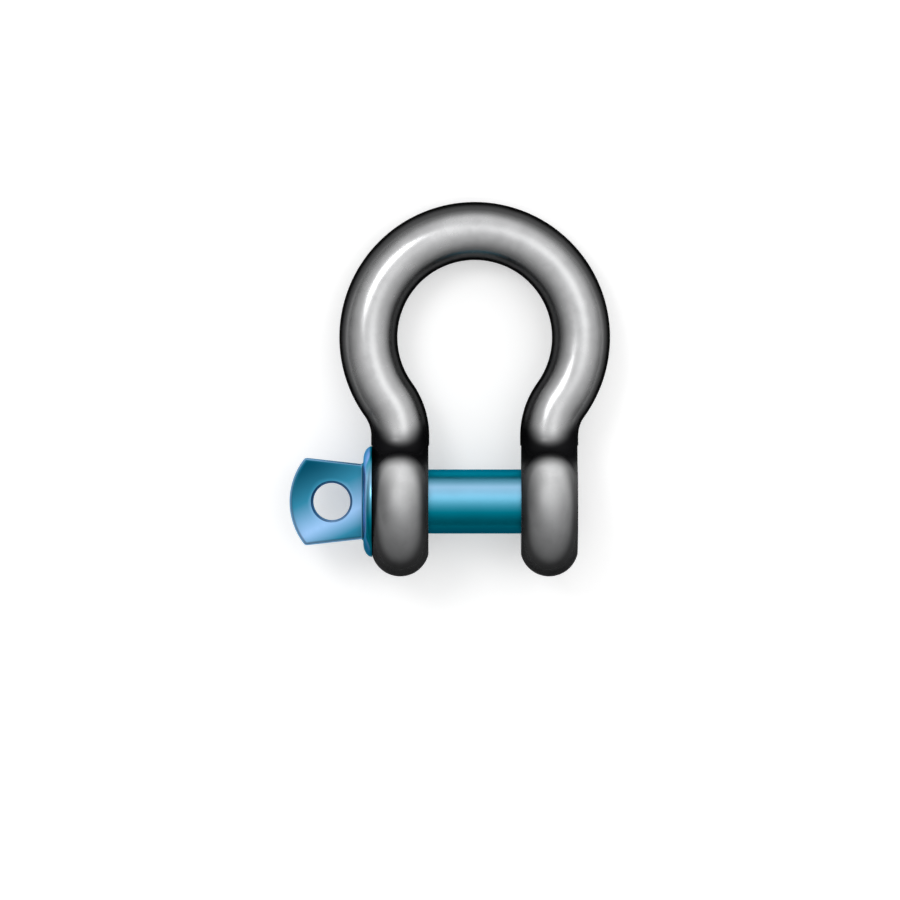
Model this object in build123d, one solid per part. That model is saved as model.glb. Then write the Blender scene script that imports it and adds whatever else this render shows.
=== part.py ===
"""Screw pin bow shackle, lying at rest: one forged bow and one screw pin.

Millimetres. The origin is on the pin's axis, midway between the ears. +X runs along the pin, from
its tab to its threaded end, +Y points from the pin to the bow's crown, and +Z is up.
Both pieces are drawn flat, with the bow's plane on XY, and are then tilted to rest on the floor.
"""
from build123d import *
import os
from math import acos, asin, cos, degrees, radians, sin, sqrt

# Bow: a round bar bent to a crown, with two legs that end in flat round ears
rod_diameter = 25.4
crown_inside_radius = 33.7
arm_bend_radius = 27.0
leg_straight = 0.6
jaw_gap = 40.4

# Ears: full-round rims, faced flat round the bores
ear_wall = 15.1
ear_end_offset = 3.2
neck_fillet = 8.0
facing_depth = 0.4
facing_clearance = 0.4
bore_clearance = 0.4
bore_chamfer = 0.8

# Pin: shank, collar and threaded end, turned about one axis
pin_diameter = 28.0
collar_lip = 10.2
collar_thickness = 3.8
collar_edge_round = 5.9
thread_step = 1.0
thread_pitch = 3.0
thread_clearance = 0.1
tip_recess = 0.8
tip_chamfer = 1.8

# Tab: the pin's flat head, with an eye for mousing wire or a bar
tab_thickness = 12.0
tab_corner_width = 38.2
tab_corner_reach = 25.3
tab_end_rise = 6.8
tab_corner_round = 1.4
tab_edge_round = 1.6
tab_root_fillet = 1.1
tab_root_margin = 0.15
eye_diameter = 16.2
eye_reach = 13.75
eye_chamfer = 1.0

# The thread's flanks are centred this many pitches inside its outer diameter
PITCH_LINE = 0.6495

# Sizes that follow
rod_radius = rod_diameter / 2
pin_radius = pin_diameter / 2
bore_radius = pin_radius + bore_clearance
thread_radius = (pin_diameter - thread_step - PITCH_LINE * thread_pitch - thread_clearance) / 2
tapped_radius = thread_radius + thread_clearance
ear_radius = bore_radius + ear_wall
ear_thickness = rod_diameter - 2 * facing_depth
leg_x = (jaw_gap + ear_thickness) / 2
jaw_x = jaw_gap / 2
outer_x = jaw_x + ear_thickness
collar_radius = pin_radius + collar_lip
facing_radius = collar_radius + facing_clearance
crown_radius = crown_inside_radius + rod_radius
collar_land = collar_radius - collar_edge_round
collar_face_x = -outer_x - collar_thickness

# The ear's rim is the bar's own round, carried round a circle and in to the leg by two hollows
rim_radius = ear_radius - rod_radius
hollow_radius = neck_fillet + rod_radius
hollow_angle = degrees(asin(hollow_radius / (rim_radius + hollow_radius)))
neck_y = sqrt((rim_radius + hollow_radius) ** 2 - hollow_radius**2) - ear_end_offset

# Each arm leaves the crown's circle on a tangent arc that ends upright over its leg
bend_y = neck_y + leg_straight
bend_angle = degrees(acos((leg_x + arm_bend_radius) / (crown_radius + arm_bend_radius)))
crown_y = bend_y + (crown_radius + arm_bend_radius) * sin(radians(bend_angle))

# At rest the shackle lies on both ears and the crown, so the bow's plane dips towards the crown
rest_tilt = degrees(asin(rim_radius / (crown_y + crown_radius + ear_end_offset)))


def arc_about(centre, start, angle):
    """An arc in a plane across the pin, turned about a centre from a start point."""
    axis = Axis(centre, (1, 0, 0))
    middle = Vertex(start).rotate(axis, angle / 2).center()
    end = Vertex(start).rotate(axis, angle).center()
    return ThreePointArc(start, middle, end)


def bore_tool(length, hole, mouth):
    """What a through bore takes out along Z: the hole, and a countersink at each end."""
    depth = mouth - hole
    countersink = Pos(0, 0, (length - depth) / 2) * Cone(hole, mouth, depth)
    return Cylinder(hole, length) + countersink + countersink.mirror(Plane.XY)


def ear_skin():
    """The faces of one forged ear, up to where its neck becomes the round bar."""
    out = Vector(0, cos(radians(hollow_angle)), sin(radians(hollow_angle)))
    centre = Vector(leg_x, -ear_end_offset, 0)
    shoulder = centre + out * rim_radius
    hollow_centre = centre + out * (rim_radius + hollow_radius)
    side = Vector(rod_radius, 0, 0)
    rim_turn = 360 - 2 * hollow_angle
    hollow_turn = 90 - hollow_angle

    section = ThreePointArc(shoulder + side, shoulder + out * rod_radius, shoulder - side)
    rim = Face.revolve(section, rim_turn, Axis(centre, (1, 0, 0)))
    hollow = Face.revolve(section, hollow_turn, Axis(hollow_centre, (1, 0, 0)))
    faces = [rim, hollow, hollow.mirror(Plane.XY)]
    for step in (side, -side):
        hollow_edge = arc_about(hollow_centre + step, shoulder + step, hollow_turn)
        rim_edge = arc_about(centre + step, shoulder + step, rim_turn)
        faces.append(Face(Wire([hollow_edge, rim_edge, hollow_edge.mirror(Plane.XY)])))
    return faces


def arm_skin(lift):
    """Leg and bend of one arm, upper or lower half of the bar, and the crown's half that it meets."""
    neck = Vector(leg_x, neck_y, 0)
    side = Vector(rod_radius, 0, 0)
    section = ThreePointArc(neck + side, neck + Vector(0, 0, lift * rod_radius), neck - side)
    leg = Face.extrude(section, (0, leg_straight, 0))
    section = section.moved(Location((0, leg_straight, 0)))
    bend_axis = Axis((leg_x + arm_bend_radius, bend_y, 0), (0, 0, -1))
    bend = Face.revolve(section, bend_angle, bend_axis)
    section = section.rotate(bend_axis, bend_angle)
    crown = Face.revolve(section, 180 + 2 * bend_angle, Axis((0, crown_y, 0), (0, 0, 1)))
    return [leg, bend], [crown]


def make_bow():
    """One forging: crown, arms and ears in a single skin, then faced and bored."""
    upper, upper_crown = arm_skin(1)
    lower, lower_crown = arm_skin(-1)
    one_side = ear_skin() + upper + lower
    other_side = [face.mirror(Plane.YZ) for face in one_side]
    bow = Solid(Shell(one_side + other_side + upper_crown + lower_crown))

    # The plain bore has small chamfers, and the tapped one is countersunk to the plain one's size
    plain = (-leg_x, bore_radius, bore_radius + bore_chamfer)
    tapped = (leg_x, tapped_radius, bore_radius)
    for middle_x, hole, mouth in (plain, tapped):
        for way in (-1, 1):
            face = Plane(origin=(middle_x + way * ear_thickness / 2, 0, 0), z_dir=(way, 0, 0))
            bow -= face * extrude(Circle(facing_radius), 2 * facing_depth)
        bow -= Pos(middle_x, 0, 0) * Rot(0, 90, 0) * bore_tool(ear_thickness, hole, mouth)
    return bow


def make_tab():
    """The flat head, as wide at its root as the collar's flat land takes with the root's fillet."""
    land = collar_land - tab_root_fillet - tab_root_margin - tab_edge_round
    root = sqrt(land**2 - (tab_thickness / 2 - tab_edge_round) ** 2) + tab_edge_round
    corner = tab_corner_width / 2
    corner_x = collar_face_x - tab_corner_reach
    sunk = collar_thickness / 2
    inside_x = collar_face_x + sunk
    inside = root - (corner - root) * sunk / tab_corner_reach
    sides = Polyline((corner_x, corner), (inside_x, inside), (inside_x, -inside), (corner_x, -corner))
    end = ThreePointArc((corner_x, corner), (corner_x - tab_end_rise, 0), (corner_x, -corner))
    tab = extrude(make_face(sides + end), tab_thickness / 2, both=True)
    tab = fillet(tab.edges().filter_by(Axis.Z).group_by(Axis.X)[0], tab_corner_round)
    outline = tab.faces().filter_by(Plane.XY).edges()
    tab = fillet(outline.filter_by(lambda e: e.center().X < inside_x), tab_edge_round)
    eye = bore_tool(tab_thickness, eye_diameter / 2, eye_diameter / 2 + eye_chamfer)
    return tab - Pos(collar_face_x - eye_reach, 0, 0) * eye


def make_pin():
    """One forging: a turned shank with its collar and threaded end, and a flat tab with an eye."""
    seat_x = -outer_x
    tip_x = outer_x - tip_recess
    round_centre = (seat_x, collar_land)
    edge = EllipticalCenterArc(round_centre, collar_thickness, collar_edge_round, 90, arc_size=90)
    turned = Polyline(
        (seat_x, collar_radius),
        (seat_x, pin_radius),
        (jaw_x, pin_radius),
        (jaw_x + pin_radius - thread_radius, thread_radius),
        (tip_x - tip_chamfer, thread_radius),
        (tip_x, thread_radius - tip_chamfer),
        (tip_x, 0),
        (collar_face_x, 0),
        (collar_face_x, collar_land),
    )
    pin = revolve(make_face(edge + turned), Axis.X) + make_tab()
    root = pin.edges().filter_by(lambda e: abs(e.center().X - collar_face_x) < tab_root_margin)
    root = root.filter_by(lambda e: e.length < 2 * tab_corner_width)
    return fillet(root, tab_root_fillet)


os.makedirs("parts", exist_ok=True)
for name, shape in (("bow", make_bow()), ("screw_pin", make_pin())):
    export_step(shape.rotate(Axis.X, -rest_tilt), f"parts/{name}.step")
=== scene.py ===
"""Screw pin bow shackle: the finish of its two forgings, a plain white studio and the camera.

Shapes are worked out in millimetres in the flat frame, where the bow's plane is XY, the pin lies along X
and the crown is at +Y. Each mesh is then tilted to its rest on the floor and scaled to metres.
"""
from math import acos, asin, atan2, ceil, cos, degrees, floor, hypot, pi, radians, sin, sqrt

import bmesh
import bpy
from mathutils import Matrix, Vector


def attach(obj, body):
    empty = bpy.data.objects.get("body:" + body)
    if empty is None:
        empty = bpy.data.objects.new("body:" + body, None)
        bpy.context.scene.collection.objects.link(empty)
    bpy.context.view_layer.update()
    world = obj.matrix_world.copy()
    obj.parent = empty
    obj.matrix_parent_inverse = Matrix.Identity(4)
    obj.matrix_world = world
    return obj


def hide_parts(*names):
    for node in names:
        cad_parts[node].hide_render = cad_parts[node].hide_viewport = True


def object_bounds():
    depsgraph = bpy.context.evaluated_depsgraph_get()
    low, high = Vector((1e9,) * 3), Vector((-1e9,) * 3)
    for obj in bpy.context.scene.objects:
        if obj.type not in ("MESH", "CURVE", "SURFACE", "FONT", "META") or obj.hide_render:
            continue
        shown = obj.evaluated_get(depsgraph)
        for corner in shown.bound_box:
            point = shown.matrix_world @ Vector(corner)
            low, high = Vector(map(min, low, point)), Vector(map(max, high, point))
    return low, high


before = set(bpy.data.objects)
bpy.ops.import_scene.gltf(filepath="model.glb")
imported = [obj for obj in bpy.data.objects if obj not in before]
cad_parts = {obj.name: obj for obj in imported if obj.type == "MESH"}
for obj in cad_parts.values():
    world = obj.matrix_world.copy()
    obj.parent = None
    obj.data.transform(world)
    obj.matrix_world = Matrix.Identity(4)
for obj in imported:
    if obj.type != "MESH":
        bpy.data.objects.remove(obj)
cad_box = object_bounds()

# Bow: a round bar bent to a crown, with two legs that end in flat round ears
ROD_RADIUS = 12.7
CROWN_INSIDE_RADIUS = 33.7
ARM_BEND_RADIUS = 27.0
LEG_STRAIGHT = 0.6
JAW_X = 20.2
EAR_WALL = 15.1
EAR_END_OFFSET = 3.2
NECK_FILLET = 8.0
FACING_DEPTH = 0.4
FACING_CLEARANCE = 0.4
BORE_CLEARANCE = 0.4
BORE_CHAMFER = 0.8

# Pin: shank, collar and threaded end, with a flat tab that has an eye
PIN_RADIUS = 14.0
COLLAR_LIP = 10.2
COLLAR_THICKNESS = 3.8
COLLAR_EDGE_ROUND = 5.9
TIP_RECESS = 0.8
TIP_CHAMFER = 1.8
TAB_HALF = 6.0
TAB_CORNER_HALF = 19.1
TAB_CORNER_REACH = 25.3
TAB_END_RISE = 6.8
TAB_CORNER_ROUND = 1.7
TAB_EDGE_ROUND = 1.6
TAB_ROOT_FILLET = 1.1
TAB_ROOT_MARGIN = 0.15
EYE_REACH = 13.75
EYE_RADIUS = 8.1
EYE_CHAMFER = 1.0

# Thread: right hand, with 60 degrees between its flanks. PITCH_LINE is how many pitches its pitch
# diameter is under its outer one
PITCH = 3.0
PITCH_LINE = 0.6495
PITCH_PLAY = 0.1
CREST_SHARE = 1 / 8
ROOT_SHARE = 1 / 4
THREAD_STEP = 0.5
THREAD_CLEARANCE = 0.12

# Sizes that follow
BORE_RADIUS = PIN_RADIUS + BORE_CLEARANCE
EAR_RADIUS = BORE_RADIUS + EAR_WALL
EAR_HALF = ROD_RADIUS - FACING_DEPTH
LEG_X = JAW_X + EAR_HALF
OUTER_X = LEG_X + EAR_HALF
RIM_RADIUS = EAR_RADIUS - ROD_RADIUS
HOLLOW_RADIUS = NECK_FILLET + ROD_RADIUS
HOLLOW_ANGLE = asin(HOLLOW_RADIUS / (RIM_RADIUS + HOLLOW_RADIUS))
NECK_Y = sqrt((RIM_RADIUS + HOLLOW_RADIUS) ** 2 - HOLLOW_RADIUS**2) - EAR_END_OFFSET
BEND_Y = NECK_Y + LEG_STRAIGHT
CROWN_RADIUS = CROWN_INSIDE_RADIUS + ROD_RADIUS
BEND_ANGLE = acos((LEG_X + ARM_BEND_RADIUS) / (CROWN_RADIUS + ARM_BEND_RADIUS))
CROWN_Y = BEND_Y + (CROWN_RADIUS + ARM_BEND_RADIUS) * sin(BEND_ANGLE)
COLLAR_RADIUS = PIN_RADIUS + COLLAR_LIP
FACING_RADIUS = COLLAR_RADIUS + FACING_CLEARANCE
COLLAR_LAND = COLLAR_RADIUS - COLLAR_EDGE_ROUND
COLLAR_FACE_X = -OUTER_X - COLLAR_THICKNESS
TIP_X = OUTER_X - TIP_RECESS
EYE_X = COLLAR_FACE_X - EYE_REACH
FLANK_SHARE = (1 - CREST_SHARE - ROOT_SHARE) / 2
THREAD_RADIUS = PIN_RADIUS - THREAD_STEP
THREAD_DEPTH = FLANK_SHARE * PITCH * sqrt(3)
TIP_RADIUS = THREAD_RADIUS - (PITCH_LINE * PITCH + PITCH_PLAY) / 2 - TIP_CHAMFER

# From the flat frame to the row's, where the shackle lies on both ears and the crown
MM_PER_METRE = 1000
REST_TILT = asin(RIM_RADIUS / (CROWN_Y + CROWN_RADIUS + EAR_END_OFFSET))
TO_ROW = Matrix.Rotation(-REST_TILT, 4, "X") @ Matrix.Scale(1 / MM_PER_METRE, 4)
TO_FLAT = TO_ROW.inverted()

# Steps of the bow's mesh: its section's faced and round parts, the bar, the ears and their faces
SIDE_STEPS = 3
TOP_STEPS = 40
BEND_STEPS = 14
CROWN_STEPS = 150
NECK_STEPS = 8
HOLLOW_STEPS = 12
RIM_STEPS = 60
SPOT_FACE_STEPS = 4
BORE_STEPS = 6

# Steps of the pin's mesh: a quarter of the tab's section, its outline, flats and eye
WALL_STEPS = 5
EDGE_STEPS = 5
FLAT_STEPS = 26
TAB_SIDE_STEPS = 16
TAB_CORNER_STEPS = 6
TAB_END_STEPS = 20
TAB_FLAT_STEPS = 5
EYE_STEPS = 4

# And the turned parts, from the tab's root to the tip
ROOT_STEPS = 6
LAND_STEPS = 2
COLLAR_STEPS = 14
SEAT_STEPS = 3
SHANK_STEPS = 24
TIP_STEPS = 5

# Points closer than this, in metres, are one, and edges that turn by more than this stay hard
JOIN_REACH = 2e-6
HARD_EDGE = radians(24)

# Numbers of a piece's two finishes
FORGED = 0
MACHINED = 1


def blend(a, b, t):
    """What lies the share t of the way from a to b."""
    return a + (b - a) * t


def steps(a, b, count):
    """Evenly spaced values from a to b, both ends among them."""
    return [blend(a, b, k / count) for k in range(count + 1)]


def through(span, value):
    """How far a value is through a span, from 0 to 1."""
    start, end = span
    return min(max((value - start) / (end - start), 0), 1)


def soft(span, value):
    """The same, with a soft start and end."""
    t = through(span, value)
    return t * t * (3 - 2 * t)


def solve(function, low, high, halvings=60):
    """Where a falling function passes zero."""
    for _ in range(halvings):
        middle = (low + high) / 2
        if function(middle) > 0:
            low = middle
        else:
            high = middle
    return low


class Skin:
    """Gathers rows of points in the flat frame, and joins them into one closed mesh."""

    def __init__(self):
        self.points = []
        self.faces = []
        self.finishes = []
        self.finish = FORGED

    def row(self, points):
        """Takes a row of points in, and gives their numbers."""
        first = len(self.points)
        self.points += points
        return list(range(first, len(self.points)))

    def face(self, *corners):
        self.faces.append(corners)
        self.finishes.append(self.finish)

    def strip(self, a, b, closed=False):
        """Quads between two rows."""
        for k in range(len(a) if closed else len(a) - 1):
            n = (k + 1) % len(a)
            self.face(a[k], a[n], b[n], b[k])

    def strips(self, rows, closed=False):
        """Quads between rows, one after another."""
        for a, b in zip(rows, rows[1:]):
            self.strip(a, b, closed)

    def rings(self, rows):
        self.strips(rows, closed=True)

    def between(self, a, b, count):
        """Closed rows from row a to row b, both among them, with straight quads between."""
        inner = []
        for t in steps(0, 1, count)[1:-1]:
            inner.append(self.row([blend(self.points[p], self.points[q], t) for p, q in zip(a, b)]))
        self.rings([a] + inner + [b])

    def make(self, name, materials):
        """The mesh object in the row's frame, with doubled points joined and hard edges kept."""
        mesh = bpy.data.meshes.new(name)
        mesh.from_pydata([TO_ROW @ p for p in self.points], [], self.faces)
        for material in materials:
            mesh.materials.append(material)
        mesh.polygons.foreach_set("material_index", self.finishes)
        close_mesh(mesh)
        piece = bpy.data.objects.new(name, mesh)
        bpy.context.scene.collection.objects.link(piece)
        even = piece.modifiers.new("even_normals", "WEIGHTED_NORMAL")
        even.keep_sharp = True
        return piece


def close_mesh(mesh):
    """Joins doubled points, turns the faces outward, and marks hard edges."""
    bm = bmesh.new()
    bm.from_mesh(mesh)
    bmesh.ops.remove_doubles(bm, verts=bm.verts, dist=JOIN_REACH)
    bmesh.ops.recalc_face_normals(bm, faces=bm.faces)
    for face in bm.faces:
        face.smooth = True
    for edge in bm.edges:
        faces = edge.link_faces
        same = len(faces) == 2 and faces[0].material_index == faces[1].material_index
        edge.smooth = same and edge.calc_face_angle() < HARD_EDGE
    bm.to_mesh(mesh)
    bm.free()


def mirror_z(points):
    return [Vector((p.x, p.y, -p.z)) for p in points]


def ring(x, radius, angles):
    """Points round the pin's axis."""
    return [Vector((x, radius * cos(a), radius * sin(a))) for a in angles]


def angles_of(points):
    """The angles of points round the pin's axis."""
    return [atan2(p.z, p.y) % (2 * pi) for p in points]


# Where a pitch is cut: the corners of the groove, and the middles between them
THREAD_CUTS = (
    0.0,
    CREST_SHARE / 2,
    CREST_SHARE,
    CREST_SHARE + FLANK_SHARE / 2,
    CREST_SHARE + FLANK_SHARE,
    0.5 + CREST_SHARE / 2,
    1 - FLANK_SHARE,
    1 - FLANK_SHARE / 2,
)


def groove(share):
    """How deep the thread's groove is at a share of its pitch, as a share of its full depth."""
    if share < CREST_SHARE:
        return 0.0
    if share < CREST_SHARE + FLANK_SHARE:
        return (share - CREST_SHARE) / FLANK_SHARE
    if share < 1 - FLANK_SHARE:
        return 1.0
    return (1 - share) / FLANK_SHARE


def add_thread(skin, angles, start, end, radius_at):
    """A right-hand helix from start to end, whose rows run out into a plain ring at each end.

    Its rows lean by a pitch on their way round, so they start before the stretch and end past it.
    """
    rows = []
    for turn in range(floor(start / PITCH) - 2, ceil(end / PITCH) + 1):
        for cut in THREAD_CUTS:
            row = []
            for angle in angles:
                x = min(max((turn + cut + angle / (2 * pi)) * PITCH, start), end)
                row += ring(x, radius_at(x, groove(cut)), [angle])
            rows.append(skin.row(row))
    skin.strips(rows)

    # Each row's end meets the start of the row one pitch on
    last = len(rows) - 2
    for k in range(last + 1):
        n = min(k + len(THREAD_CUTS), last)
        skin.face(rows[k][-1], rows[n][0], rows[n + 1][0], rows[k + 1][-1])


# The bar's half-round section: angles from one side over the top to the other, cut at the facing
FACING_TURN = acos(EAR_HALF / ROD_RADIUS)
FACING_REACH = ROD_RADIUS * sin(FACING_TURN)
SIDE_TURNS = steps(0, FACING_TURN, SIDE_STEPS)
TOP_TURNS = steps(FACING_TURN, pi - FACING_TURN, TOP_STEPS)
HALF_TURNS = SIDE_TURNS[:-1] + TOP_TURNS + [pi - a for a in reversed(SIDE_TURNS[:-1])]


def hollow_point(turn):
    """Where the ear's middle line runs in the neck's hollow, and which way is out: (y, z) each."""
    out = (sin(turn), cos(turn))
    return (NECK_Y - HOLLOW_RADIUS * out[0], HOLLOW_RADIUS - HOLLOW_RADIUS * out[1]), out


def rim_point(turn):
    """The same on the ear's rim, by its angle from the crown's side."""
    out = (cos(turn), sin(turn))
    return (RIM_RADIUS * out[0] - EAR_END_OFFSET, RIM_RADIUS * out[1]), out


def off_line(point, out, reach):
    """The place that lies a reach out from a point of a line, by its two coordinates."""
    return point[0] + out[0] * reach, point[1] + out[1] * reach


def facing_gap(turn):
    """How far the flat's edge lies outside the facing's circle, at a turn of the hollow."""
    return hypot(*off_line(*hollow_point(turn), FACING_REACH)) - FACING_RADIUS


FACING_START = solve(facing_gap, 0, pi / 2 - HOLLOW_ANGLE)


def facing_edge(angle):
    """A place on the facing's circle: (y, z)."""
    return FACING_RADIUS * cos(angle), FACING_RADIUS * sin(angle)


def past_hollow(angle):
    """How far a place on the facing's edge lies outside the circle of the hollow's middle line."""
    y, z = facing_edge(angle)
    return hypot(y - NECK_Y, z - HOLLOW_RADIUS) - HOLLOW_RADIUS


def facing_arc():
    """The facing's edge where it runs into the neck, from its middle out.

    Each place has its y and z, and how far off the ear's middle the forged side is there.
    """
    y, z = off_line(*hollow_point(FACING_START), FACING_REACH)
    last = atan2(z, y)
    arc = []
    for angle in steps(solve(past_hollow, 0, last), last, SIDE_STEPS):
        reach = max(-past_hollow(angle), 0)
        arc.append((*facing_edge(angle), sqrt(ROD_RADIUS**2 - reach**2)))
    return arc


FACING_ARC = facing_arc()


def ear_section(side, middle, out, turns):
    """Points of the half-round at one place of the ear's middle line."""
    points = []
    for turn in turns:
        x = side * (LEG_X + ROD_RADIUS * cos(turn))
        points.append(Vector((x, *off_line(middle, out, ROD_RADIUS * sin(turn)))))
    return points


def ear_sections(side):
    """An ear's sections: whole from the neck to the facing's edge, and faced from there to its end."""
    whole = []
    for turn in steps(0, FACING_START, NECK_STEPS)[:-1]:
        whole.append(ear_section(side, *hollow_point(turn), HALF_TURNS))
    edge = ear_section(side, *hollow_point(FACING_START), TOP_TURNS)
    near = [Vector((side * (LEG_X + height), y, z)) for y, z, height in FACING_ARC[:-1]]
    far = [Vector((side * (LEG_X - height), y, z)) for y, z, height in FACING_ARC[:-1]]
    whole.append(near + edge + far[::-1])

    faced = [edge]
    for turn in steps(FACING_START, pi / 2 - HOLLOW_ANGLE, HOLLOW_STEPS)[1:]:
        faced.append(ear_section(side, *hollow_point(turn), TOP_TURNS))
    for turn in steps(HOLLOW_ANGLE, pi, RIM_STEPS)[1:]:
        faced.append(ear_section(side, *rim_point(turn), TOP_TURNS))
    return whole, faced


def add_spot_face(skin, face_x, rim, step_rows, mouth_radius):
    """One faced side of an ear, with its step at the neck. Gives the bore's mouth and its angles.

    rim has the points of the ear's upper half round the face, and step_rows the forged skin's two
    rows at the step, above and below the bow's plane.
    """
    upper = [Vector((face_x, y, z)) for y, z, _ in FACING_ARC[:-1]]
    upper += [Vector((face_x, p.y, p.z)) for p in rim]
    loop = upper + mirror_z(upper[:-1])[::-1]
    outline = skin.row(loop)

    face_rows = [row[:len(FACING_ARC)] for row in (outline, outline[::-1])]
    for step_row, face_row in zip(step_rows, face_rows):
        skin.strip(step_row, face_row)
    skin.face(step_rows[0][0], step_rows[1][0], face_rows[1][0], face_rows[0][0])

    angles = angles_of(loop)
    mouth = skin.row(ring(face_x, mouth_radius, angles))
    skin.between(mouth, outline, SPOT_FACE_STEPS)
    return mouth, angles


def add_ear(skin, side, tapped):
    """One ear with its faces and bore, from the neck down. side is 1 on the right and -1 on the left."""
    whole, faced = ear_sections(side)
    halves = []
    for flip in (list, mirror_z):
        whole_rows = [skin.row(flip(points)) for points in whole]
        faced_rows = [skin.row(flip(points)) for points in faced]
        skin.strips(whole_rows)
        skin.strips(faced_rows)
        halves.append(whole_rows)

    # The sliver between the two hollows, on both sides of the neck
    for end in (0, -1):
        upper, lower = [[row[end] for row in rows] for rows in halves]
        skin.strip(upper, lower)

    # The outer spot face and the inner one
    skin.finish = MACHINED
    mouth_radius = BORE_RADIUS if tapped else BORE_RADIUS + BORE_CHAMFER
    mouths = []
    for way in (1, -1):
        face_x = side * (LEG_X + way * EAR_HALF)
        rim = [points[::way][0] for points in faced]
        step_rows = [rows[-1][::way][:len(FACING_ARC)] for rows in halves]
        mouth, angles = add_spot_face(skin, face_x, rim, step_rows, mouth_radius)
        mouths.append((face_x, mouth, angles))

    # The bore between them, from its left mouth to its right one
    (start_x, first, angles), (end_x, last, _) = sorted(mouths, key=lambda mouth: mouth[0])
    if tapped:
        def tapped_radius(x, depth):
            countersink = BORE_RADIUS - min(x - start_x, end_x - x)
            return max(THREAD_RADIUS + THREAD_CLEARANCE - THREAD_DEPTH * depth, countersink)

        add_thread(skin, angles, start_x, end_x, tapped_radius)
    else:
        places = steps(start_x + BORE_CHAMFER, end_x - BORE_CHAMFER, BORE_STEPS)
        skin.rings([first] + [skin.row(ring(x, BORE_RADIUS, angles)) for x in places] + [last])
    skin.finish = FORGED


def bar_line():
    """The bar's middle line from the right neck round to the left: points, and ways to its outer side."""
    line = [((LEG_X, NECK_Y), (1, 0))]
    for turn in steps(0, BEND_ANGLE, BEND_STEPS)[:-1]:
        out = (cos(turn), -sin(turn))
        centre = (LEG_X + ARM_BEND_RADIUS, BEND_Y)
        line.append(((centre[0] - ARM_BEND_RADIUS * out[0], centre[1] - ARM_BEND_RADIUS * out[1]), out))
    other = [((-p[0], p[1]), (-out[0], out[1])) for p, out in reversed(line)]
    for turn in steps(-BEND_ANGLE, pi + BEND_ANGLE, CROWN_STEPS):
        out = (cos(turn), sin(turn))
        line.append(((CROWN_RADIUS * out[0], CROWN_Y + CROWN_RADIUS * out[1]), out))
    return line + other


def make_bow(materials):
    """One forging: the round bar of crown and arms, and an ear on each leg."""
    skin = Skin()
    section = HALF_TURNS + [2 * pi - turn for turn in reversed(HALF_TURNS[1:-1])]
    rows = []
    for point, out in bar_line():
        row = []
        for turn in section:
            place = off_line(point, out, ROD_RADIUS * cos(turn))
            row.append(Vector((*place, ROD_RADIUS * sin(turn))))
        rows.append(skin.row(row))
    skin.rings(rows)
    add_ear(skin, 1, tapped=True)
    add_ear(skin, -1, tapped=False)
    return skin.make("forged_bow", materials)


def root_section():
    """The tab's section at its root, one turn from +Y by +Z: its points, and which way is out."""
    land = COLLAR_LAND - TAB_ROOT_FILLET - TAB_ROOT_MARGIN - TAB_EDGE_ROUND
    side_z = TAB_HALF - TAB_EDGE_ROUND
    flat_y = sqrt(land**2 - side_z**2)
    quarter = [((flat_y + TAB_EDGE_ROUND, z), (1, 0)) for z in steps(0, side_z, WALL_STEPS)]
    for turn in steps(0, pi / 2, EDGE_STEPS)[1:]:
        out = (cos(turn), sin(turn))
        quarter.append(((flat_y + TAB_EDGE_ROUND * out[0], side_z + TAB_EDGE_ROUND * out[1]), out))

    # On the flat, the points are an even angle apart where the root's fillet meets the collar
    lifted = TAB_HALF + TAB_ROOT_FILLET
    for angle in steps(atan2(lifted, flat_y), pi / 2, FLAT_STEPS)[1:]:
        quarter.append(((lifted * cos(angle) / sin(angle), TAB_HALF), (0, 1)))
    half = quarter + [((-y, z), (-a, b)) for (y, z), (a, b) in reversed(quarter[:-1])]
    return half + [((y, -z), (a, -b)) for (y, z), (a, b) in reversed(half[1:-1])]


def tab_outline(root_x, root_y):
    """The tab's edge seen on its flat, from its root at +Y round to -Y: points, and ways out."""
    end_radius = (TAB_CORNER_HALF**2 + TAB_END_RISE**2) / (2 * TAB_END_RISE)
    corner_x = COLLAR_FACE_X - TAB_CORNER_REACH
    end_centre = Vector((corner_x - TAB_END_RISE + end_radius, 0))
    root = Vector((root_x, root_y))
    along = (Vector((corner_x, TAB_CORNER_HALF)) - root).normalized()
    side_out = Vector((along.y, -along.x))

    # The corner's centre is a corner radius inside both the side and the end's arc
    start = root - side_out * TAB_CORNER_ROUND - end_centre
    half = start.dot(along)
    reach = end_radius - TAB_CORNER_ROUND
    distance = -half + sqrt(half**2 - start.length_squared + reach**2)
    corner = root - side_out * TAB_CORNER_ROUND + along * distance
    end_out = (corner - end_centre).normalized()

    first = atan2(side_out.y, side_out.x)
    last = atan2(end_out.y, end_out.x)
    side_end = corner + side_out * TAB_CORNER_ROUND
    outline = [(blend(root, side_end, t), side_out) for t in steps(0, 1, TAB_SIDE_STEPS)]
    for turn in steps(first, last, TAB_CORNER_STEPS)[1:]:
        out = Vector((cos(turn), sin(turn)))
        outline.append((corner + out * TAB_CORNER_ROUND, out))
    for turn in steps(last, pi, TAB_END_STEPS)[1:]:
        out = Vector((cos(turn), sin(turn)))
        outline.append((end_centre + out * end_radius, out))
    mirrored = [(Vector((p.x, -p.y)), Vector((out.x, -out.y))) for p, out in reversed(outline[:-1])]
    return outline + mirrored


def eye_ring(radius, z, angles):
    return [Vector((EYE_X + radius * cos(a), radius * sin(a), z)) for a in angles]


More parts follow.
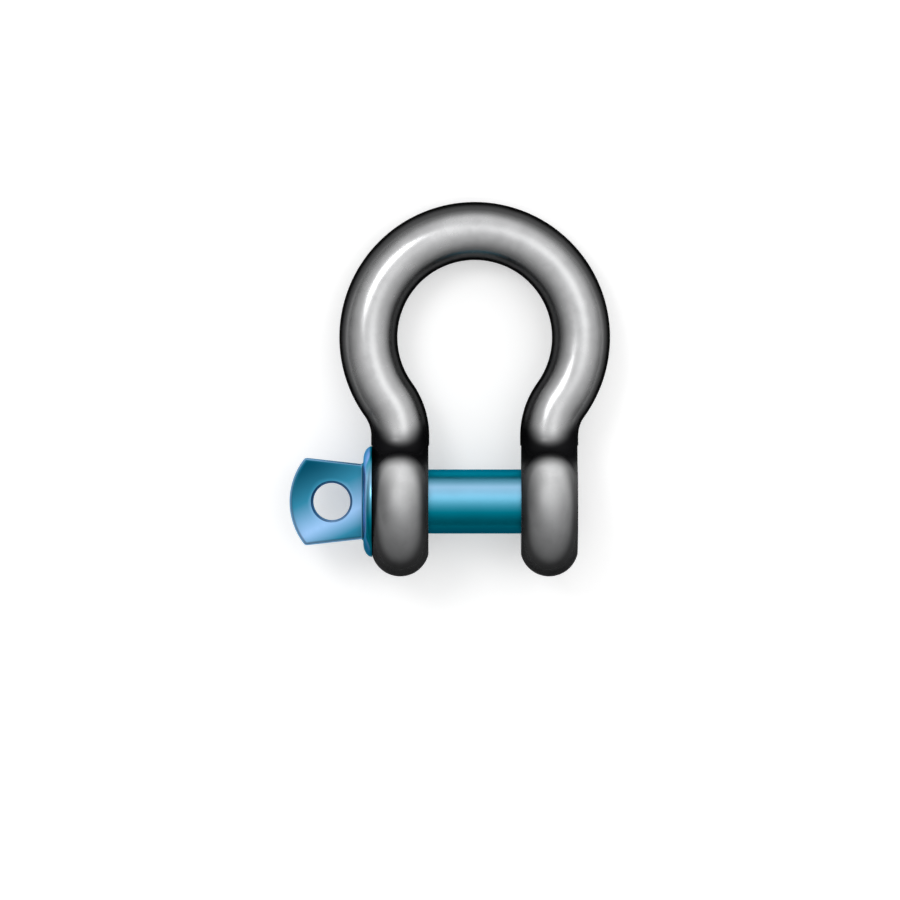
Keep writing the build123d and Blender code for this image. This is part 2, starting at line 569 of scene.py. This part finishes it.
def add_tab(skin, section, root_x):
    """The flat head with its eye, out from its root section, which stands at root_x."""
    half_wall = WALL_STEPS + EDGE_STEPS
    wall = [point for point, _ in section[-half_wall:] + section[:half_wall + 1]]
    root_y = section[0][0][0]
    rows = []
    for place, out in tab_outline(root_x, root_y):
        rows.append([Vector((*off_line(place, out, y - root_y), z)) for y, z in wall])

    # Both ends of the wall stand on the root section
    rows[0] = [Vector((root_x, y, z)) for y, z in wall]
    rows[-1] = [Vector((root_x, -y, z)) for y, z in wall]
    skin.strips([skin.row(row) for row in rows])

    # The two flats, from the eye's countersink out to the rounded edge
    flat_y = [y for (y, _), (_, up) in section if up == 1]
    eye_rows = []
    for way, end in ((1, -1), (-1, 0)):
        flat_z = way * TAB_HALF
        root_line = [Vector((root_x, y, flat_z)) for y in flat_y[::-1][1:-1]]
        loop = [row[end] for row in rows] + root_line
        angles = [atan2(p.y, p.x - EYE_X) for p in loop]
        outer = skin.row(loop)
        mouth = skin.row(eye_ring(EYE_RADIUS + EYE_CHAMFER, flat_z, angles))
        skin.between(mouth, outer, TAB_FLAT_STEPS)
        inner = skin.row(eye_ring(EYE_RADIUS, way * (TAB_HALF - EYE_CHAMFER), angles))
        skin.rings([mouth, inner])
        eye_rows.append(inner)
    skin.between(*eye_rows, EYE_STEPS)


def pin_radius_at(x, depth):
    """The threaded end: the groove runs out at the shoulder and is cut back by the tip's chamfer."""
    run_out = soft((JAW_X + THREAD_STEP, JAW_X + THREAD_STEP + PITCH), x)
    return min(THREAD_RADIUS - THREAD_DEPTH * depth * run_out, TIP_RADIUS + TIP_X - x)


def make_pin(materials):
    """One forging: turned shank with collar and threaded end, and a flat tab with an eye."""
    skin = Skin()
    section = root_section()
    root_x = COLLAR_FACE_X - TAB_ROOT_FILLET
    add_tab(skin, section, root_x)

    fillet = []
    for turn in steps(0, pi / 2, ROOT_STEPS):
        spread = TAB_ROOT_FILLET * (1 - cos(turn))
        x = root_x + TAB_ROOT_FILLET * sin(turn)
        row = [Vector((x, y + a * spread, z + b * spread)) for (y, z), (a, b) in section]
        fillet.append(skin.row(row))
    skin.rings(fillet)
    angles = angles_of(skin.points[p] for p in fillet[-1])

    # Land, rounded edge and seat of the collar, then the shank
    land = skin.row(ring(COLLAR_FACE_X, COLLAR_LAND, angles))
    skin.between(fillet[-1], land, LAND_STEPS)
    turned = [land]
    for turn in steps(0, pi / 2, COLLAR_STEPS)[1:]:
        x = -OUTER_X - COLLAR_THICKNESS * cos(turn)
        turned.append(skin.row(ring(x, COLLAR_LAND + COLLAR_EDGE_ROUND * sin(turn), angles)))
    for radius in steps(COLLAR_RADIUS, PIN_RADIUS, SEAT_STEPS)[1:]:
        turned.append(skin.row(ring(-OUTER_X, radius, angles)))
    for x in steps(-OUTER_X, JAW_X, SHANK_STEPS)[1:]:
        turned.append(skin.row(ring(x, PIN_RADIUS, angles)))
    skin.rings(turned)

    skin.finish = MACHINED
    thread_start = JAW_X + THREAD_STEP
    shoulder = skin.row(ring(thread_start, THREAD_RADIUS, angles))
    skin.rings([turned[-1], shoulder])
    add_thread(skin, angles, thread_start, TIP_X, pin_radius_at)
    skin.rings([skin.row(ring(TIP_X, radius, angles)) for radius in steps(TIP_RADIUS, 0, TIP_STEPS)])
    return skin.make("blue_screw_pin", materials)


def paint(piece, shades):
    """Stores numbers at each point of a mesh, by name, for its materials."""
    turn = TO_FLAT.to_3x3().normalized()
    places = [(TO_FLAT @ vertex.co, turn @ vertex.normal) for vertex in piece.data.vertices]
    for name, shade in shades.items():
        layer = piece.data.attributes.new(name, "FLOAT", "POINT")
        layer.data.foreach_set("value", [shade(p, normal) for p, normal in places])


# Painted tones fade over spans. Those of places are in millimetres, and those named LEVEL are of how
# level a face is: 0 where it stands upright and 1 where it looks straight up or down

# Shade is painted into the neck's hollow, between two round ends: the bar's above it and the ear's below.
# It starts off each end by a share of the bar's radius
BAR_END_Y = 35.6
EAR_TOP_Y = 8.95
HOLLOW_OFF_BAR = (0.25, 1.0)
HOLLOW_BELOW_BAR = (-1.0, 6.0)
HOLLOW_OFF_EAR = (0.78, 1.0)
HOLLOW_ABOVE_EAR = (0.0, 7.0)
HOLLOW_LEVEL = (0.05, 0.5)


def painted_hollow_shade(p, normal):
    """1 where shade is painted into the neck's hollow, on faces that look up or down, and 0 outside it."""
    across = abs(abs(p.x) - LEG_X)
    off_bar = hypot(across, min(p.y - BAR_END_Y, 0)) / ROD_RADIUS
    off_ear = hypot(across, max(p.y - EAR_TOP_Y, 0)) / ROD_RADIUS
    bar_side = soft(HOLLOW_OFF_BAR, off_bar) * soft(HOLLOW_BELOW_BAR, BAR_END_Y - p.y)
    ear_side = soft(HOLLOW_OFF_EAR, off_ear) * soft(HOLLOW_ABOVE_EAR, p.y - EAR_TOP_Y)
    return bar_side * ear_side * soft(HOLLOW_LEVEL, abs(normal.z))


# The ears' rougher skin fades out above their round tops
EAR_SKIN_END = (EAR_TOP_Y + 5, EAR_TOP_Y + 15)


def on_ear(p, normal):
    """1 on the ears, whose forged skin is a little rougher than the bar's."""
    return 1 - soft(EAR_SKIN_END, p.y)


# Painted shade on the sides: how level a face is where it ends, and how much that moves on the bar and at
# its crown
SIDE_LEVEL = (0.55, 0.85)
BAR_WIDENING = 0.03
CROWN_WIDENING = 0.15
CROWN_RISE = (CROWN_Y - 10, CROWN_Y + 30)

# The painted shade on the ears' faces that look to the tab, and the deeper painted shade beside the outline
TABWARD_SHADE = 1.1
TABWARD_RISE = (-16.0, 6.0)
OUTLINE_SHADE = 0.16
OUTLINE_LEVEL = (0.1, 0.35)


def on_side(normal, widened=0):
    """How far a face is turned away from the bow's plane: 0 on its top and bottom, 1 on its sides."""
    return 1 - soft(SIDE_LEVEL, abs(normal.z) - widened)


def painted_bow_side_shade(p, normal):
    """How much shade is painted on the bow's sides: 0 on its top and bottom, about 1 on its sides.

    The painted shade is wider towards the crown on the bar, and towards the tab on the ears. Just
    inside the outline it is a little deeper than on upright faces, on the ears only towards their ends.
    """
    ear = on_ear(p, normal)
    crownward = CROWN_WIDENING * max(normal.y, 0) * soft(CROWN_RISE, p.y)
    widened = BAR_WIDENING * (1 - ear) + crownward
    tabward = TABWARD_SHADE * max(-normal.x, 0) * soft(TABWARD_RISE, p.y) * ear
    deeper = OUTLINE_SHADE * soft(OUTLINE_LEVEL, abs(normal.z)) * blend(1, max(-normal.y, 0), ear)
    return max(on_side(normal, widened) * (1 + deeper), tabward)


# Painted light and shade on the steel, from 0 to 1: one share on the bar, and on the ears by how far up
# they are
BAR_PALE = 0.29
EAR_PALE_RISE = (-16.0, 15.0)
EAR_PALE_POWER = 2.7


def painted_ear_light(p, normal):
    """Painted light on the steel's grey: middling on the bar, palest on the ears' shoulders, darkest at
    their ends.
    """
    return blend(BAR_PALE, through(EAR_PALE_RISE, p.y) ** EAR_PALE_POWER, on_ear(p, normal))


# The tab's paint, with a painted highlight band, by millimetres across it: deep at its upper left, palest
# at the band, and a share of that past it. Its rounded edges get a pale painted highlight too, between its
# walls and its flats
BAND_WAY = (0.45, -0.9)
BAND_DARK = -48.0
BAND_BRIGHT = -20.3
BAND_END = -10.5
BAND_POWER = 1.5
BAND_REST = 0.25
TAB_EDGE_PAINTED_HIGHLIGHT = 0.8
TAB_WALL_LEVEL = (0.1, 0.35)
TAB_FLAT_LEVEL = (0.85, 0.97)

# The shank's and collar's painted highlight stripe, by degrees round the axis from the top or bottom
# towards the crown
TURN_DARK = -20.0
TURN_BRIGHT = 27.0
TURN_END = 54.0
TURN_POWER = 1.3


def is_turned(p, normal):
    """1 on the shank and collar, 0 on the tab."""
    return 1 if p.x > COLLAR_FACE_X - TAB_ROOT_FILLET / 2 else 0


def painted_band_highlight(p, normal):
    """How much painted highlight the pin's paint has at a point, from 0 where it is deep to 1 on the
    painted bright band.
    """
    if is_turned(p, normal):
        turn = degrees(atan2(p.y, abs(p.z)))
        rise = through((TURN_DARK, TURN_BRIGHT), turn)
        fall = through((TURN_END, TURN_BRIGHT), turn)
        return min(rise, fall) ** TURN_POWER
    across = p.x * BAND_WAY[0] + p.y * BAND_WAY[1]
    rise = through((BAND_DARK, BAND_BRIGHT), across) ** BAND_POWER
    flat = rise * blend(1, BAND_REST, through((BAND_BRIGHT, BAND_END), across))
    level = abs(normal.z)
    edge = soft(TAB_WALL_LEVEL, level) * (1 - soft(TAB_FLAT_LEVEL, level))
    return blend(flat, 1, TAB_EDGE_PAINTED_HIGHLIGHT * edge)


def is_glossy(p, normal):
    """The clear coat's share: thick on the pale band, thin on the sides and where the paint is deep."""
    return (1 - on_side(normal)) * painted_band_highlight(p, normal)


# A painted violet highlight on the collar's rim, by how squarely its rounded edge looks to the tab. It is
# wider at the corners that stand out farthest along y
RIM_FACING = (0.7, 0.9)
RIM_MARGIN = 0.1
RIM_WIDENING = 0.5
RIM_CORNER = (15.0, 21.0)

# The turned parts' painted side shade: what is left of it towards the crown, and where the rim has none
CROWNWARD_SIDE = 0.1
CROWNWARD_RISE = (-4.0, 4.0)
RIM_RISE = (-20.0, -8.0)


def painted_rim_highlight(p, normal):
    """1 where a violet highlight is painted on the collar's rounded edge, where it turns to the tab."""
    on_edge = COLLAR_FACE_X < p.x < -OUTER_X and hypot(p.y, p.z) > COLLAR_LAND + RIM_MARGIN
    widened = RIM_WIDENING * soft(RIM_CORNER, abs(p.y))
    return soft(RIM_FACING, widened - normal.x) if on_edge else 0


def painted_pin_side_shade(p, normal):
    """How much shade is painted on the turned parts' sides: less towards the crown, and not on the collar's
    rim.
    """
    off_rim = 1 - painted_rim_highlight(p, normal) * soft(RIM_RISE, p.y)
    crownward = blend(1, CROWNWARD_SIDE, soft(CROWNWARD_RISE, p.y))
    return is_turned(p, normal) * on_side(normal) * off_rim * crownward


class Nodes:
    """The nodes of a material or a world, and short ways to add and join them."""

    def __init__(self, owner):
        owner.use_nodes = True
        self.tree = owner.node_tree

    def node(self, kind, **settings):
        made = self.tree.nodes.new(kind)
        for name, value in settings.items():
            setattr(made, name, value)
        return made

    def join(self, source, target):
        self.tree.links.new(source, target)

    def math(self, operation, a, b=None, c=None):
        """One operation on values, which are numbers or come from other nodes."""
        made = self.node("ShaderNodeMath", operation=operation)
        for socket, value in zip(made.inputs, (a, b, c)):
            if value is None:
                continue
            if isinstance(value, (int, float)):
                socket.default_value = value
            else:
                self.join(value, socket)
        return made.outputs[0]


class Finish(Nodes):
    """A material in the making, with its shader's settings by name."""

    def __init__(self, name, **settings):
        self.material = bpy.data.materials.new(name)
        super().__init__(self.material)
        self.shader = self.tree.nodes["Principled BSDF"]
        self.place = self.node("ShaderNodeTexCoord").outputs["Object"]
        for socket, value in settings.items():
            self.shader.inputs[socket.replace("_", " ").title().replace("Ior", "IOR")].default_value = value

    def noise(self, size, detail=3.0, roughness=0.5, place=None):
        """Cloudy noise with patches of about a size in millimetres."""
        made = self.node("ShaderNodeTexNoise")
        made.inputs["Scale"].default_value = MM_PER_METRE / size
        made.inputs["Detail"].default_value = detail
        made.inputs["Roughness"].default_value = roughness
        self.join(place or self.place, made.inputs["Vector"])
        return made.outputs["Fac"]

    def cells(self, size):
        """Random grey cells of about a size in millimetres, as zinc crystals lie."""
        made = self.node("ShaderNodeTexVoronoi")
        made.inputs["Scale"].default_value = MM_PER_METRE / size
        self.join(self.place, made.inputs["Vector"])
        grey = self.node("ShaderNodeSeparateColor")
        self.join(made.outputs["Color"], grey.inputs[0])
        return grey.outputs[0]

    def attribute(self, name):
        return self.node("ShaderNodeAttribute", attribute_name=name).outputs["Fac"]

    def blend(self, a, b, share):
        """One value or another by a fixed share."""
        return self.math("MULTIPLY_ADD", a, 1 - share, self.math("MULTIPLY", b, share))

    def spread(self, value, span, to=(0.0, 1.0)):
        """A value's place in a span, laid over another span."""
        made = self.node("ShaderNodeMapRange")
        self.join(value, made.inputs[0])
        for socket, number in zip(made.inputs[1:5], (*span, *to)):
            socket.default_value = number
        return made.outputs[0]

    def mix(self, share, a, b):
        """One colour or another by a share."""
        made = self.node("ShaderNodeMix", data_type="RGBA")
        self.join(share, made.inputs[0])
        for socket, value in ((made.inputs[6], a), (made.inputs[7], b)):
            if isinstance(value, tuple):
                socket.default_value = (*value, 1)
            else:
                self.join(value, socket)
        return made.outputs[2]

    def mottle(self, colour, share, depth=0.07):
        """A colour that turns darker and paler by a depth, as a share goes from 0 to 1."""
        made = self.node("ShaderNodeMix", data_type="RGBA", blend_type="MULTIPLY")
        made.inputs[0].default_value = 1
        self.join(colour, made.inputs[6])
        self.join(self.mix(share, (1 - depth,) * 3, (1 + depth,) * 3), made.inputs[7])
        return made.outputs[2]

    def ramp(self, share, stops):
        """Colours that run into each other along a share from 0 to 1."""
        made = self.node("ShaderNodeValToRGB")
        self.join(share, made.inputs[0])
        while len(made.color_ramp.elements) < len(stops):
            made.color_ramp.elements.new(0.5)
        for element, (place, colour) in zip(made.color_ramp.elements, stops):
            element.position = place
            element.color = (*colour, 1)
        return made.outputs[0]

    def colour(self, value):
        self.join(value, self.shader.inputs["Base Color"])

    def roughness(self, value):
        self.join(value, self.shader.inputs["Roughness"])

    def bump(self, *layers):
        """Relief from heights with their depths in millimetres, one on another."""
        normal = None
        for height, depth in layers:
            made = self.node("ShaderNodeBump")
            made.inputs["Strength"].default_value = 1
            made.inputs["Distance"].default_value = depth / MM_PER_METRE
            self.join(height, made.inputs["Height"])
            if normal:
                self.join(normal, made.inputs["Normal"])
            normal = made.outputs[0]
        self.join(normal, self.shader.inputs["Normal"])


# In the materials, GRAZING is the tint where the view skims a face, SPAN the stretch of the noise that is
# laid over tones and roughness, and each DEPTH of relief is in millimetres. SIDE_SHADE is how much of the
# painted shade shows where a side is painted 1
SIDE_SHADE = 0.72

# Forged steel: its greys from dark to pale, which paint light on the ears, the painted shade on its sides
# and in the neck's hollow, what the ears and the hollow add to its roughness, and the waves and grain of
# its skin
ZINC_GREYS = ((0.285, 0.287, 0.291), (0.76, 0.762, 0.766))
ZINC_GRAZING = (0.02, 0.02, 0.02, 1)
ZINC_SPAN = (0.3, 0.7)
ZINC_ROUGHNESS = (0.23, 0.28)
CRYSTAL_SHARE = 0.15
SIDE_PAINTED_SHADE = (0.0, 0.0, 0.0)
HOLLOW_PAINTED_SHADE = (0.012, 0.012, 0.013)
EAR_ROUGHNESS = 0.26
WAVE_DEPTH = 0.025
GRAIN_DEPTH = 0.004


def forged_steel():
    """Smooth galvanised forging: mid grey, soft zinc crystals, painted shade on its sides and in the neck's
    hollow, and painted light on the ears.
    """
    finish = Finish("galvanised_steel", metallic=1.0, specular_tint=ZINC_GRAZING)
    tone = finish.blend(finish.noise(size=9.0, detail=4.0), finish.cells(size=3.5), CRYSTAL_SHARE)
    # Painted light: the ears' grey is pale on their shoulders and dark at their ends
    steel = finish.mix(finish.attribute("pale"), *ZINC_GREYS)
    clean = finish.mottle(steel, finish.spread(tone, ZINC_SPAN))
    # Painted shade: the colour turns nearly black in the neck's hollow
    hollow = finish.attribute("hollow")
    # Painted shade: the colour turns dark on the sides, where they face away from the bow's plane
    side = finish.math("MULTIPLY", finish.attribute("side"), SIDE_SHADE)
    finish.colour(finish.mix(hollow, finish.mix(side, clean, SIDE_PAINTED_SHADE), HOLLOW_PAINTED_SHADE))
    rougher = finish.math("MAXIMUM", hollow, finish.attribute("ear"))
    smooth = finish.spread(tone, ZINC_SPAN, to=ZINC_ROUGHNESS)
    finish.roughness(finish.math("MULTIPLY_ADD", rougher, EAR_ROUGHNESS, smooth))
    finish.bump((finish.noise(size=6.0, detail=2.0), WAVE_DEPTH), (finish.noise(size=0.8), GRAIN_DEPTH))
    return finish.material


# Turned steel: its greys from dark to pale, and the rings of the tool with their feed in millimetres
STEEL_GRAZING = (0.4, 0.4, 0.42, 1)
TURNED_GREYS = ((0.38, 0.385, 0.395), (0.57, 0.575, 0.585))
TURNED_SPAN = (0.35, 0.65)
TURNED_ROUGHNESS = (0.24, 0.38)
TOOL_FEED = 0.35
RING_DEPTH = 0.006
STREAK_SHARE = 0.7
STREAK_DEPTH = 0.01


def turned_steel():
    """Bare faced and bored steel, with the fine rings of the tool."""
    finish = Finish("turned_steel", metallic=1.0, specular_tint=STEEL_GRAZING)
    axes = finish.node("ShaderNodeSeparateXYZ")
    finish.join(finish.place, axes.inputs[0])
    x, y, z = axes.outputs
    radius = finish.math("SQRT", finish.math("MULTIPLY_ADD", y, y, finish.math("MULTIPLY", z, z)))
    feeds = finish.math("MULTIPLY", finish.math("ADD", radius, x), 2 * pi * MM_PER_METRE / TOOL_FEED)
    rings = finish.math("SINE", feeds)
    round_axis = finish.node("ShaderNodeCombineXYZ")
    finish.join(radius, round_axis.inputs[0])
    finish.join(x, round_axis.inputs[1])
    streak = finish.noise(size=0.9, detail=4.0, roughness=0.6, place=round_axis.outputs[0])
    tone = finish.blend(finish.noise(size=6.0), streak, STREAK_SHARE)
    finish.colour(finish.mix(finish.spread(tone, TURNED_SPAN), *TURNED_GREYS))
    finish.roughness(finish.spread(tone, TURNED_SPAN, to=TURNED_ROUGHNESS))
    finish.bump((rings, RING_DEPTH), (streak, STREAK_DEPTH))
    return finish.material


# The threaded end's greys, and how rough it is
THREAD_GREYS = ((0.40, 0.40, 0.405), (0.50, 0.50, 0.505))
THREAD_SPAN = (0.2, 0.8)
THREAD_ROUGHNESS = (0.30, 0.40)


def threaded_steel():
    """The pin's bare threaded end."""
    finish = Finish("threaded_steel", metallic=1.0, specular_tint=STEEL_GRAZING)
    streak = finish.noise(size=1.5, detail=2.0)
    finish.colour(finish.mix(streak, *THREAD_GREYS))
    finish.roughness(finish.spread(streak, THREAD_SPAN, to=THREAD_ROUGHNESS))
    finish.bump((finish.noise(size=0.4), GRAIN_DEPTH))
    return finish.material


# Candy blue, from deep to pale with painted highlights: the tab's tones with their places, the shank's, the
# rim's painted violet highlight and the sides' painted shade
TAB_BLUES = ((0.0, (0.001, 0.050, 0.090)), (0.4, (0.009, 0.165, 0.270)), (1.0, (0.215, 0.40, 0.66)))
SHANK_BLUES = ((0.0, 0.235, 0.335), (0.22, 0.45, 0.65))
RIM_PAINTED_HIGHLIGHT = (0.30, 0.42, 0.80)
PIN_SIDE_PAINTED_SHADE = (0.0, 0.02, 0.025)
TEAL_GRAZING = (0.0, 0.42, 0.5, 1)

# Its roughness, relief and clear coat
BLUE_SPAN = (0.3, 0.7)
BLUE_ROUGHNESS = (0.29, 0.34)
BLUE_DEPTH = 0.01
COAT_ROUGHNESS = 0.18
COAT_IOR = 1.5


def blue_paint():
    """Candy blue over bright metal: deep teal, paler on a painted highlight band, with painted shade on its
    sides.
    """
    finish = Finish("blue_pin", metallic=1.0, specular_tint=TEAL_GRAZING, coat_roughness=COAT_ROUGHNESS,
                    coat_ior=COAT_IOR)
    clouds = finish.noise(size=12.0)
    # Painted highlight: the tab's diagonal band, its edges and the shank's stripe are paler in the colour
    band = finish.attribute("band")
    tab = finish.ramp(band, TAB_BLUES)
    tones = finish.mix(finish.attribute("turned"), tab, finish.mix(band, *SHANK_BLUES))
    # Painted highlight: the collar's rounded edge turns pale violet
    rim = finish.mix(finish.attribute("rim"), tones, RIM_PAINTED_HIGHLIGHT)
    # Painted shade: the turned parts' sides turn dark teal
    side = finish.math("MULTIPLY", finish.attribute("side"), SIDE_SHADE)
    finish.colour(finish.mix(side, finish.mottle(rim, clouds), PIN_SIDE_PAINTED_SHADE))
    finish.join(finish.attribute("gloss"), finish.shader.inputs["Coat Weight"])
    finish.roughness(finish.spread(clouds, BLUE_SPAN, to=BLUE_ROUGHNESS))
    finish.bump((finish.noise(size=2.2, detail=2.0), BLUE_DEPTH))
    return finish.material


# The floor's whites, and what it adds to them where it is seen, straight or mirrored
FLOOR_WHITES = ((0.87, 0.87, 0.87), (0.89, 0.89, 0.89))
FLOOR_LIFT = 0.3


def floor_finish():
    """White matt floor, which keeps the shackle's shadow."""
    finish = Finish("white_floor", metallic=0.0, roughness=0.9, specular_ior_level=0.0,
                    emission_color=(1, 1, 1, 1))
    finish.colour(finish.mix(finish.noise(size=20.0), *FLOOR_WHITES))
    ray = finish.node("ShaderNodeLightPath").outputs
    seen = finish.math("MAXIMUM", ray["Is Camera Ray"], ray["Is Glossy Ray"])
    seen = finish.math("MAXIMUM", seen, ray["Is Transmission Ray"])
    finish.join(finish.math("MULTIPLY", seen, FLOOR_LIFT), finish.shader.inputs["Emission Strength"])
    return finish.material


# The camera looks square on to the bow's plane. These place the photograph's frame on that plane
PHOTO_SIDE = 900
PIN_PIXEL = (474.7, 501.5)
MM_PER_PIXEL = 0.4364
CAMERA_DISTANCE = 3.0
SENSOR = 36.0

SIDEWAYS = Vector((1, 0, 0))
CROWNWARD = Vector((0, cos(REST_TILT), -sin(REST_TILT)))
VIEWWARD = Vector((0, sin(REST_TILT), cos(REST_TILT)))


def add_camera():
    middle = PHOTO_SIDE / 2
    right = (middle - PIN_PIXEL[0]) * MM_PER_PIXEL / MM_PER_METRE
    up = (PIN_PIXEL[1] - middle) * MM_PER_PIXEL / MM_PER_METRE
    data = bpy.data.cameras.new("camera")
    data.sensor_width = SENSOR
    data.lens = SENSOR * CAMERA_DISTANCE / (PHOTO_SIDE * MM_PER_PIXEL / MM_PER_METRE)
    camera = bpy.data.objects.new("camera", data)
    camera.location = SIDEWAYS * right + CROWNWARD * up + VIEWWARD * CAMERA_DISTANCE
    camera.rotation_euler = (-REST_TILT, 0, 0)
    bpy.context.scene.collection.objects.link(camera)
    bpy.context.scene.camera = camera


def way_to(to_crown, to_right):
    """A direction by its angles off the view."""
    a, b = radians(to_crown), radians(to_right)
    return (VIEWWARD * cos(a) + CROWNWARD * sin(a)) * cos(b) + SIDEWAYS * sin(b)


# Key lamp, a soft disc: its angles off the view, its distance and width in metres, and its brightness
KEY_TO_CROWN = 20
KEY_TO_RIGHT = -20.5
KEY_DISTANCE = 1.6
KEY_WIDTH = 0.5
KEY_RADIANCE = 5.5


def add_key_lamp():
    """The lamp, whose power in watts is pi times its area times its brightness."""
    way = way_to(KEY_TO_CROWN, KEY_TO_RIGHT)
    data = bpy.data.lights.new("key_lamp", "AREA")
    data.shape = "DISK"
    data.size = KEY_WIDTH
    data.energy = pi * (pi * KEY_WIDTH**2 / 4) * KEY_RADIANCE
    lamp = bpy.data.objects.new("key_lamp", data)
    lamp.location = way * KEY_DISTANCE
    lamp.rotation_mode = "QUATERNION"
    lamp.rotation_quaternion = way.to_track_quat("Z", "Y")
    lamp.visible_camera = False
    bpy.context.scene.collection.objects.link(lamp)


# Sky: dim at the horizon, with soft bright patches. Each has its angles off the view towards the crown
# and to the right, its brightness, and how tight it is
SKY_DIM = 0.28
SKY_PATCHES = (
    (20, 8, 1.0, 1.2),
    (9, 16, 1.1, 28),
    (59, 0, 0.25, 26),
)


def add_sky():
    world = bpy.data.worlds.new("studio")
    sky = Nodes(world)
    place = sky.node("ShaderNodeTexCoord").outputs["Generated"]
    total = SKY_DIM
    for to_crown, to_right, brightness, tightness in SKY_PATCHES:
        near = sky.node("ShaderNodeVectorMath", operation="DOT_PRODUCT")
        near.inputs[1].default_value = way_to(to_crown, to_right)
        sky.join(place, near.inputs[0])
        facing = sky.math("MAXIMUM", near.outputs["Value"], 0)
        total = sky.math("MULTIPLY_ADD", sky.math("POWER", facing, tightness), brightness, total)
    background = sky.tree.nodes["Background"]
    background.inputs["Color"].default_value = (1, 1, 1, 1)
    sky.join(total, background.inputs["Strength"])
    bpy.context.scene.world = world


# Half the floor's side, in metres
FLOOR_HALF = 15.0


def add_floor(floor_z):
    """The floor, at the height that the solids rest on."""
    corners = ((-1, -1), (1, -1), (1, 1), (-1, 1))
    mesh = bpy.data.meshes.new("floor")
    mesh.from_pydata([(a * FLOOR_HALF, b * FLOOR_HALF, floor_z) for a, b in corners], [], [(0, 1, 2, 3)])
    mesh.materials.append(floor_finish())
    ground = bpy.data.objects.new("floor", mesh)
    bpy.context.scene.collection.objects.link(ground)


bow = make_bow([forged_steel(), turned_steel()])
paint(bow, {"hollow": painted_hollow_shade, "side": painted_bow_side_shade, "ear": on_ear, "pale": painted_ear_light})
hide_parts("bow")
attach(bow, "bow")

pin = make_pin([blue_paint(), threaded_steel()])
paint(pin, {"turned": is_turned, "side": painted_pin_side_shade, "band": painted_band_highlight, "gloss": is_glossy, "rim": painted_rim_highlight})
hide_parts("screw_pin")
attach(pin, "pin")

add_floor(cad_box[0].z)
add_sky()
add_key_lamp()
add_camera()
bpy.context.scene.view_settings.view_transform = "Standard"
